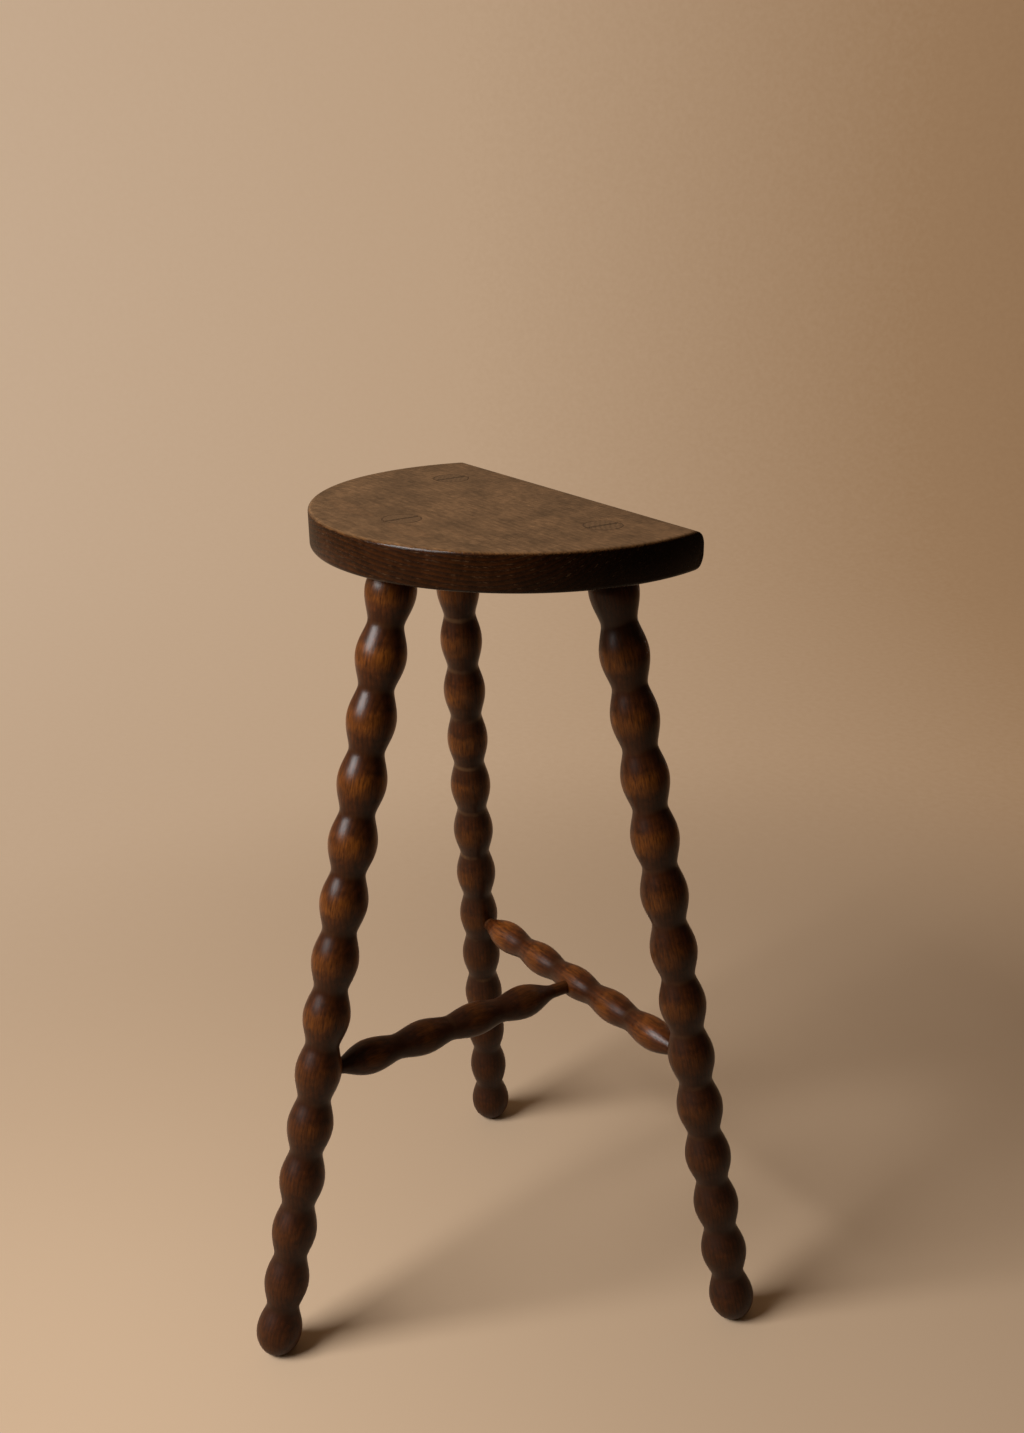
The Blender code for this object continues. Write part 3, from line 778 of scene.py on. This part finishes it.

# %% [markdown]
# ## The layers of the board's finish
# The board's finish is layered in the same order. The height of a point tells the top from the rim, and
# the direction that the surface faces tells end grain from long grain and where the rim is painted darker
# as painted shade. One material can then serve the whole board, and no edge has to be painted by hand.

# %% A finish for the board
def board_oak(name, seed):
    material = new_material(name)
    tree = material.node_tree
    place = add(tree, "TexCoord").outputs["Object"]
    pith = (0, BACK_EDGE - PITH_FORWARD, (SEAT_TOP + SEAT_UNDERSIDE) / 2 + PITH_HEIGHT)
    season, fibres, mottle, blotches, pores = oak_grain(tree, place, 0, pith, BOARD_TAPER, seed)
    height = add(tree, "SeparateXYZ", {0: place}).outputs["Z"]
    on_top = add(tree, "MapRange", {"Value": height, "From Min": SEAT_TOP - TOP_SKIN,
                                    "From Max": SEAT_TOP - TOP_FACE})

    # Top and rim colours: a painted sheen on the top and painted shade on the rim, besides wear and stain.
    top_rings_sheen = add(tree, "ValToRGB", {"Fac": season}, TOP_WEAR_AND_SHEEN_STOPS)
    rim_rings_shade = add(tree, "ValToRGB", {"Fac": season}, RIM_STAIN_AND_SHADE_STOPS)
    rings = add(tree, "Mix", {"Factor": on_top, 6: rim_rings_shade, 7: top_rings_sheen}, data_type="RGBA")
    fibre_tone = add(tree, "MapRange", {"Value": fibres, "From Min": NOISE_LOW, "From Max": NOISE_HIGH,
                                        "To Min": BOARD_FIBRE_TONES[0], "To Max": BOARD_FIBRE_TONES[1]})
    blotch_tone = add(tree, "MapRange", {"Value": blotches, "From Min": NOISE_LOW, "From Max": NOISE_HIGH,
                                         "To Min": BOARD_BLOTCH_TONES[0], "To Max": BOARD_BLOTCH_TONES[1]})
    mottle_tone = add(tree, "MapRange", {"Value": mottle, "From Min": NOISE_LOW, "From Max": NOISE_HIGH,
                                         "To Min": BOARD_MOTTLE_TONES[0], "To Max": BOARD_MOTTLE_TONES[1]})
    clouds = add(tree, "Math", {0: mottle_tone, 1: blotch_tone}, operation="MULTIPLY")
    facing = add(tree, "SeparateXYZ", {0: add(tree, "TexCoord").outputs["Normal"]}).outputs["X"]
    end_on = add(tree, "Math", {0: facing}, operation="ABSOLUTE")
    # End grain takes more stain, and the rim is also painted darker here where it faces along the board:
    # painted shade.
    end_grain_and_shade = add(tree, "MapRange", {"Value": end_on, "From Min": END_GRAIN_FROM,
                                    "From Max": END_GRAIN_FULL, "To Min": 1.0, "To Max": END_GRAIN_SHADE_TONE})
    fibres_and_end_shade = add(tree, "Math", {0: fibre_tone, 1: end_grain_and_shade}, operation="MULTIPLY")
    tone_and_shade = add(tree, "Math", {0: fibres_and_end_shade, 1: clouds}, operation="MULTIPLY")
    stained = add(tree, "VectorMath", {0: rings, "Scale": tone_and_shade}, operation="SCALE")

    # The pale dashes in the rim's pores are wax and painted glints.
    pore_colour = add(tree, "Mix", {"Factor": on_top, 6: RIM_WAX_AND_GLINT, 7: PORE_DARK}, data_type="RGBA")
    pore_share = add(tree, "MapRange", {"Value": on_top, "To Min": RIM_PORE_SHARE,
                                        "To Max": TOP_PORE_SHARE})
    patchy = add(tree, "MapRange", {"Value": mottle, "From Min": PORE_PATCHES[0],
                                    "From Max": PORE_PATCHES[1]})
    kept = add(tree, "Math", {0: pores, 1: patchy}, operation="MULTIPLY")
    filled = add(tree, "Math", {0: kept, 1: pore_share}, operation="MULTIPLY")
    pored = add(tree, "Mix", {"Factor": filled, 6: stained, 7: pore_colour}, data_type="RGBA")

    below = add(tree, "Math", {0: SEAT_TOP - ARRIS_DROP, 1: height}, operation="SUBTRACT")
    from_arris = add(tree, "Math", {0: below}, operation="ABSOLUTE")
    arris = add(tree, "MapRange", {"Value": from_arris, "From Min": ARRIS_DROP, "From Max": ARRIS_CORE})
    streaky = add(tree, "MapRange", {"Value": fibres, "From Min": ARRIS_STREAKS[0],
                                     "From Max": ARRIS_STREAKS[1], "To Max": ARRIS_SHARE})
    rubbed = add(tree, "Math", {0: arris, 1: streaky}, operation="MULTIPLY")
    colour = add(tree, "Mix", {"Factor": rubbed, 6: pored, 7: ARRIS_WEAR}, data_type="RGBA")

    polish = add(tree, "MapRange", {"Value": on_top, "To Min": RIM_ROUGHNESS, "To Max": TOP_ROUGHNESS})
    uneven = add(tree, "Math", {0: blotches, 1: ROUGHNESS_CLOUDS}, operation="MULTIPLY")
    worn_smooth = add(tree, "Math", {0: polish, 1: uneven}, operation="ADD")
    roughness = add(tree, "Mix", {"Factor": arris, "A": worn_smooth, "B": ARRIS_ROUGHNESS})
    waxed(tree, colour, roughness, fibres, pores, BOARD_RELIEF, BOARD_SHINE)
    print(name, "has", len(tree.nodes), "nodes")
    return material


# %% [markdown]
# ## The half-moon seat
# The board starts as a full round with its arris just rubbed off. A list of insets and heights gives the
# rim, and rings of points at those places are joined into a disc. That needs no bevel, so the size of the
# rounding is exact.

# %% Shape the round board
SEAT_RADIUS = 0.161
SEAT_BACK_DEPTH = 0.055
RIM_FACETS = 192
RIM_EDGE = 0.003
RIM_EDGE_STEPS = 5
CAP_INSET = 0.005


def quarter(steps, radius):
    for step in range(steps + 1):
        angle = math.pi / 2 * step / steps
        yield radius * (1 - math.sin(angle)), radius * (1 - math.cos(angle))


rim_rows = [(inset, SEAT_UNDERSIDE + rise) for inset, rise in quarter(RIM_EDGE_STEPS, RIM_EDGE)]
rim_rows.insert(0, (CAP_INSET, SEAT_UNDERSIDE))
rim_rows += [(inset, SEAT_TOP + SEAT_UNDERSIDE - height) for inset, height in reversed(rim_rows)]
board = bmesh.new()
loops = []
for inset, height in rim_rows:
    loop = []
    for facet in range(RIM_FACETS):
        angle = 2 * math.pi * facet / RIM_FACETS
        x = (SEAT_RADIUS - inset) * math.cos(angle)
        y = BACK_EDGE - SEAT_BACK_DEPTH + (SEAT_RADIUS - inset) * math.sin(angle)
        loop.append(board.verts.new((x, y, height)))
    loops.append(loop)
for lower, upper in zip(loops, loops[1:]):
    for facet in range(RIM_FACETS):
        after = (facet + 1) % RIM_FACETS
        board.faces.new((lower[facet], lower[after], upper[after], upper[facet]))
board.faces.new(loops[0][::-1])
board.faces.new(loops[-1])
seat = as_piece("waxed_seat_board", board, Matrix.Identity(4))
print("round board", 2 * SEAT_RADIUS, "m across")

# %% [markdown]
# ## The straight back edge and the mortises
# A straight cut takes off the back of the round, and that long edge was then rounded over much more than
# the rim. One shaped cutter does both at once: its near side is the outline that the edge should keep.
# Three bores along the leg axes let the tenons through.

# %% Cut off the back and bore the seat
BACK_ROUND = 0.012
BACK_STEPS = 12
WASTE = 0.15
BORE_FIT = 0.00003
BORE_BELOW_TOP = 0.06
BORE_ABOVE_TOP = 0.03

under = [(BACK_EDGE - inset, SEAT_UNDERSIDE + rise) for inset, rise in quarter(BACK_STEPS, BACK_ROUND)]
over = [(y, SEAT_TOP + SEAT_UNDERSIDE - z) for y, z in reversed(under)]
start = BACK_EDGE - BACK_ROUND
below_seat = SEAT_UNDERSIDE - BORE_CLEARANCE
above_seat = SEAT_TOP + BORE_CLEARANCE
waste_outline = [(BACK_EDGE + WASTE, below_seat), (start, below_seat)]
waste_outline += under + over
waste_outline += [(start, above_seat), (BACK_EDGE + WASTE, above_seat)]
waste = bmesh.new()
near = [waste.verts.new((-2 * SEAT_RADIUS, y, z)) for y, z in waste_outline]
far = [waste.verts.new((2 * SEAT_RADIUS, y, z)) for y, z in waste_outline]
for corner in range(len(waste_outline)):
    after = (corner + 1) % len(waste_outline)
    waste.faces.new((near[corner], near[after], far[after], far[corner]))
waste.faces.new(near[::-1])
waste.faces.new(far)
cutters = [as_piece("cutter", waste, Matrix.Identity(4))]
for top, foot in leg_axes.values():
    length = (top - foot).length
    bore_radius = LEG_TENON_RADIUS * (1 + SHRINKAGE) + BORE_FIT
    bore_start = length - BORE_BELOW_TOP
    cutters.append(rod(bore_radius, bore_start, length + BORE_ABOVE_TOP, frame_along(foot, top)))
carve(seat, cutters)
complete(seat, board_oak("waxed_oak_board", seed=3), "seat_board", sharp_degrees=30)

# %% [markdown]
# ## The wedges
# A wedge driven into a saw kerf spreads each tenon in its hole, so the leg can't drop out. It is a thin
# tapered slip of the same oak, split along the grain, and it is trimmed level with the seat after gluing.

# %% Split the wedges
WEDGE_TOP = 0.0027
WEDGE_TIP = 0.0010
WEDGE_LENGTH = 0.0215
WEDGE_INSET = 0.0009
WEDGE_HALF_WIDTH = LEG_TENON_RADIUS - WEDGE_INSET
WEDGE_EASE = 0.00002
WEDGE_PITH = (0.04, 0.05)
WEDGE_TONE = 0.9
WEDGE_GLOSS = 0.4
WEDGE_SHADE = 0.5
WEDGE_SEED = 20

for seed, (name, (top, foot)) in enumerate(leg_axes.items()):
    placing = frame_along(foot, top)
    placing.translation = top
    slip = bmesh.new()
    bmesh.ops.create_cube(slip, size=2.0)
    for vertex in slip.verts:
        thickness = WEDGE_TOP if vertex.co.z > 0 else WEDGE_TIP
        rise = TRIM_ALLOWANCE if vertex.co.z > 0 else -WEDGE_LENGTH
        vertex.co = Vector((vertex.co.x * thickness / 2, vertex.co.y * WEDGE_HALF_WIDTH, rise))
    trim(slip, placing, top, UP)
    bmesh.ops.bevel(slip, geom=slip.edges[:], offset=WEDGE_EASE, segments=2, affect="EDGES")
    wedge = as_piece("tenon_wedge_" + name, slip, placing)
    oak = turned_oak("stained_oak_wedge_" + name, placing, WEDGE_PITH, WEDGE_TONE, WEDGE_GLOSS,
                     neck_wax=0.0, seed=WEDGE_SEED + seed, end_shade=WEDGE_SHADE)
    complete(wedge, oak, "wedge_" + name)

# %% [markdown]
# ## A plain place to stand
# The stool stands on a seamless pale sweep of paper that is lighter on the lamp's side. Near the
# stool the paper is real: it takes the light and the soft shadows. Farther out it fades into a glow of
# its own colour with painted light, lighter on the lamp's side and darker on the other, that only the
# camera and reflections see, so no horizon shows and the backdrop adds no light to the stool. What the
# paper throws back on the wood is toned down too, or it would fill the deep shadows.

# %% Paper for the sweep
PAPER_STOPS = [
    (0.00, linear("#bda387")),
    (1.00, linear("#c2a88c")),
]
BOUNCE = linear("#4a3a2a")
PAPER_ROUGHNESS = 0.9
PAPER_IOR = 1.3
PAPER_CLOUD = 1.5
PAPER_TOOTH = 0.012
RUFFLE = 0.04
ACROSS_VIEW = direction(CAMERA_AZIMUTH + 90, 0)
FADE_CENTRE = ACROSS_VIEW * 0.35
FADE_START = 0.5
FADE_END = 1.4
GLOW_REACH = 1.6
# Painted light: the glow's gradient paints the lamp's falloff, lighter on the lamp's side and darker on
# the other.
GLOW_STOPS = [
    (0.05, linear("#c7ac91")),
    (0.46, linear("#ba9d80")),
    (0.82, linear("#987859")),
    (1.00, linear("#8a6a4c")),
]

paper = new_material("matte_paper_sweep")
sheet_tree = paper.node_tree
spot = add(sheet_tree, "TexCoord").outputs["Object"]
cloud = add(sheet_tree, "TexNoise", {"Vector": spot, "Scale": PAPER_CLOUD, "Detail": 2.0})
paper_tone = add(sheet_tree, "ValToRGB", {"Fac": cloud}, PAPER_STOPS)
path = add(sheet_tree, "LightPath").outputs
mirrored = add(sheet_tree, "Math", {0: path["Is Glossy Ray"], 1: path["Is Transmission Ray"]},
               operation="MAXIMUM")
seen = add(sheet_tree, "Math", {0: path["Is Camera Ray"], 1: mirrored}, operation="MAXIMUM")
shown = add(sheet_tree, "Mix", {"Factor": seen, 6: BOUNCE, 7: paper_tone}, data_type="RGBA")
lit_paper = add(sheet_tree, "BsdfPrincipled", {"Base Color": shown, "Roughness": PAPER_ROUGHNESS,
                                               "IOR": PAPER_IOR})

sideways = add(sheet_tree, "VectorMath", {0: spot, 1: ACROSS_VIEW},
               operation="DOT_PRODUCT").outputs["Value"]
turn = add(sheet_tree, "MapRange", {"Value": sideways, "From Min": -GLOW_REACH, "From Max": GLOW_REACH})
tooth = add(sheet_tree, "TexNoise", {"Vector": spot, "Scale": 1 / PAPER_TOOTH, "Detail": 3.0})
ruffle = add(sheet_tree, "MapRange", {"Value": tooth, "To Min": -RUFFLE, "To Max": RUFFLE})
ruffled = add(sheet_tree, "Math", {0: turn, 1: ruffle}, operation="ADD")
glow_tone = add(sheet_tree, "ValToRGB", {"Fac": ruffled}, GLOW_STOPS)
glow = add(sheet_tree, "Emission", {"Color": glow_tone, "Strength": seen})
away = add(sheet_tree, "VectorMath", {0: spot, 1: FADE_CENTRE}, operation="DISTANCE").outputs["Value"]
faded = add(sheet_tree, "MapRange", {"Value": away, "From Min": FADE_START, "From Max": FADE_END},
            interpolation_type="SMOOTHSTEP")
sweep_surface = add(sheet_tree, "MixShader", {0: faded, 1: lit_paper, 2: glow})
add(sheet_tree, "OutputMaterial", {"Surface": sweep_surface})
print("the paper fades to a plain glow over", round(FADE_END - FADE_START, 2), "m")

# %% [markdown]
# ## The sweep
# A studio sweep hangs behind the object and curves onto the floor. A flat disc that meets a curved, round
# wall does the same from every side, so the stool can be looked at from all round. The wall is only for
# the camera: it takes no part in shadows and reflections.

# %% The floor and the curved wall
FLOOR_RADIUS = 2.4
CURVE_RADIUS = 0.8
WALL_TOP = 4.5
SWEEP_FACETS = 96
CURVE_STEPS = 12


def circle_of(shape, radius, height):
    turns = [2 * math.pi * facet / SWEEP_FACETS for facet in range(SWEEP_FACETS)]
    return [shape.verts.new((radius * math.cos(turn), radius * math.sin(turn), height)) for turn in turns]


floor_shape = bmesh.new()
floor_shape.faces.new(circle_of(floor_shape, FLOOR_RADIUS, 0.0))
wall_shape = bmesh.new()
circles = []
for step in range(CURVE_STEPS + 1):
    angle = math.pi / 2 * step / CURVE_STEPS
    reach = FLOOR_RADIUS + CURVE_RADIUS * math.sin(angle)
    circles.append(circle_of(wall_shape, reach, CURVE_RADIUS * (1 - math.cos(angle))))
circles.append(circle_of(wall_shape, FLOOR_RADIUS + CURVE_RADIUS, WALL_TOP))
for lower, upper in zip(circles, circles[1:]):
    for facet in range(SWEEP_FACETS):
        after = (facet + 1) % SWEEP_FACETS
        wall_shape.faces.new((lower[facet], upper[facet], upper[after], lower[after]))
for name, shape in (("paper_floor", floor_shape), ("paper_wall", wall_shape)):
    mesh = bpy.data.meshes.new(name)
    shape.to_mesh(mesh)
    shape.free()
    mesh.shade_smooth()
    mesh.materials.append(paper)
    sheet = bpy.data.objects.new(name, mesh)
    bpy.context.scene.collection.objects.link(sheet)
wall = bpy.data.objects["paper_wall"]
wall.visible_diffuse = False
wall.visible_glossy = False
wall.visible_shadow = False
print("the sweep is", 2 * (FLOOR_RADIUS + CURVE_RADIUS), "m across")

# %% [markdown]
# ## Soft studio light
# One large soft box stands in front of the stool, well to the left of the camera, and does most of the
# work: it draws the white glints on the upper left of each bead and throws the shadows to the back. The
# surround is dim, lighter on the lamp's side and darker on the other, so that the right side of each leg
# falls into deep shadow as in the photograph but still reads. Two weak lamps behind, without shadows of
# their own, show the sides that the photograph doesn't. They are linked to the stool's pieces alone, so
# the paper keeps its shadows.

# %% Light the stool
KEY_AZIMUTH = -6
KEY_ELEVATION = 38
KEY_DISTANCE = 2.0
KEY_SIZE = 1.1
KEY_POWER = 62.0
BACK_LAMP_SIZE = 1.0
BACK_LAMP_ELEVATION = 8
BACK_LAMPS = [(195, 26.0), (285, 11.0)]
SURROUND_COLOUR = linear("#ffd8b0")
SURROUND_DARK = 0.04
DARK_SIDE = -0.4
SURROUND_LIGHT = 0.28
LIGHT_SIDE = direction(-70, 30)
LAMP_TARGET = Vector((0, 0, 0.4))


def soft_box(name, size, power, towards, distance):
    data = bpy.data.lights.new(name, "AREA")
    data.shape = "SQUARE"
    data.size = size
    data.energy = power
    lamp = bpy.data.objects.new(name, data)
    lamp.visible_camera = False
    aim(lamp, LAMP_TARGET, towards, distance)
    print(name, "at", tuple(round(v, 2) for v in lamp.location))
    return lamp


soft_box("key_soft_box", KEY_SIZE, KEY_POWER, direction(KEY_AZIMUTH, KEY_ELEVATION), KEY_DISTANCE)
dressed_pieces = bpy.data.collections.new("dressed_pieces")
for piece in finished:
    dressed_pieces.objects.link(piece)
for azimuth, power in BACK_LAMPS:
    towards = direction(azimuth, BACK_LAMP_ELEVATION)
    back_lamp = soft_box("back_lamp", BACK_LAMP_SIZE, power, towards, KEY_DISTANCE)
    back_lamp.data.use_shadow = False
    back_lamp.visible_glossy = False
    back_lamp.light_linking.receiver_collection = dressed_pieces

world = bpy.data.worlds.new("dim_surround")
world.use_nodes = True
room = world.node_tree
room.nodes.clear()
outlook = add(room, "TexCoord").outputs["Generated"]
side = add(room, "VectorMath", {0: outlook, 1: LIGHT_SIDE}, operation="DOT_PRODUCT").outputs["Value"]
level = add(room, "MapRange", {"Value": side, "From Min": DARK_SIDE, "From Max": 1.0,
                               "To Min": SURROUND_DARK, "To Max": SURROUND_LIGHT})
backing = add(room, "Background", {"Color": SURROUND_COLOUR, "Strength": level})
add(room, "OutputWorld", {"Surface": backing})
bpy.context.scene.world = world
bpy.context.scene.view_settings.view_transform = "Standard"
